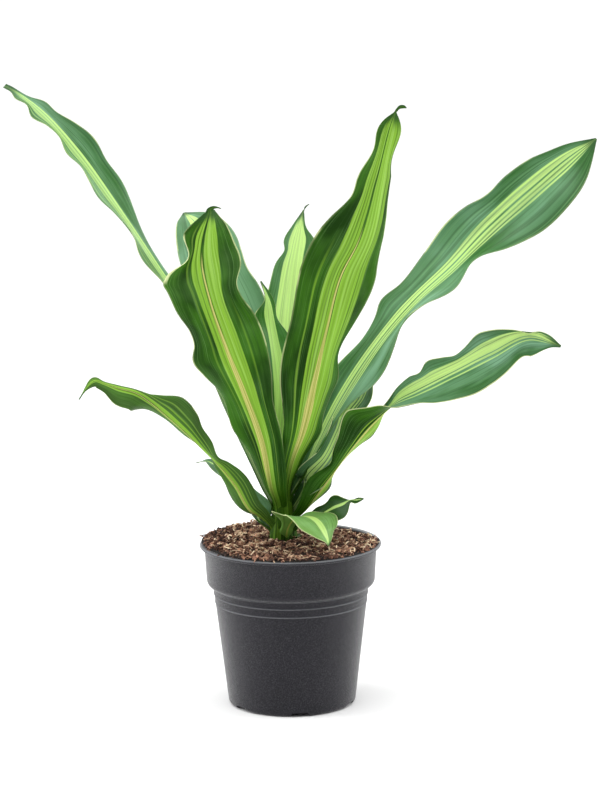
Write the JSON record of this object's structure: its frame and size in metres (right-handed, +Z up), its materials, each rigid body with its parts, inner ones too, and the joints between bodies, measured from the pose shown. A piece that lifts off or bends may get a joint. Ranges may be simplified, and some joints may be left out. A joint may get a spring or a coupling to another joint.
{
  "type": "potted dracaena",
  "caption": "Free-standing house plant: long wavy green leaves with lime stripes rising from a short stem in a round tapered nursery pot of soil.",
  "frame": {"origin": "centre of the pot's flat foot, on the surface that the pot stands on", "axes": "+Z up along the pot's axis; -Y towards the front, from where the picture looks; +X to the picture's right"},
  "size_m": [0.5683, 0.371, 0.5736],
  "materials": {
    "pot_plastic": "matte",
    "soil": "matte",
    "stem": "satin",
    "leaf": "satin"
  },
  "bodies": {
    "root": {"pot": "pot_plastic", "soil": "soil", "stem": "stem", "leaf_front_small": "leaf", "leaf_right_small": "leaf", "leaf_left_lowest": "leaf", "leaf_left_low": "leaf", "leaf_right_low": "leaf", "leaf_right_inner": "leaf", "leaf_left_high": "leaf", "leaf_front_left": "leaf", "leaf_right_long": "leaf", "leaf_back_left": "leaf", "leaf_front_tall": "leaf", "leaf_back_centre": "leaf", "leaf_inner_young": "leaf"}
  },
  "joints": []
}
